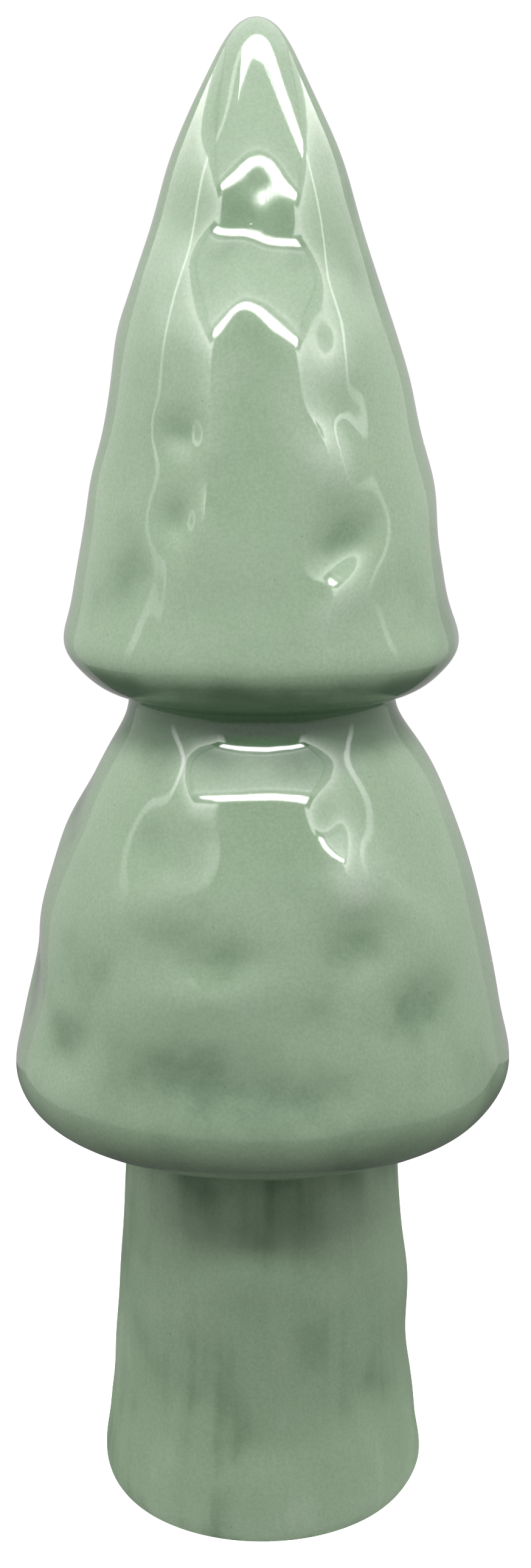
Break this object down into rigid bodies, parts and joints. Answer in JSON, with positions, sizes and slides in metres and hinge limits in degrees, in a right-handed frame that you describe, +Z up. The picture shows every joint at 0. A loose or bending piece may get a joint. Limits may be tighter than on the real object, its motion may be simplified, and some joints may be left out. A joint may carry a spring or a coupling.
{
  "type": "ceramic tree figurine",
  "caption": "Hollow glazed stoneware figurine: two bell-shaped fir tiers on a flared trunk, with a hand-pressed surface and a felt ring under the foot, to stand on a shelf.",
  "frame": {"origin": "centre of the foot, on the surface that the figurine stands on", "axes": "+Z up through the tip; -Y is the front; the figurine is round about Z"},
  "size_m": [0.1014, 0.1014, 0.3],
  "materials": {
    "celadon_glaze": "glossy translucent glaze, darker where it gathers in the dents",
    "felt": "matt pressed wool"
  },
  "bodies": {
    "root": {"upper_tier": "celadon_glaze", "lower_tier": "celadon_glaze", "trunk": "celadon_glaze", "neck_luting_ring": "celadon_glaze", "collar_luting_ring": "celadon_glaze", "felt_ring": "felt"}
  },
  "joints": []
}
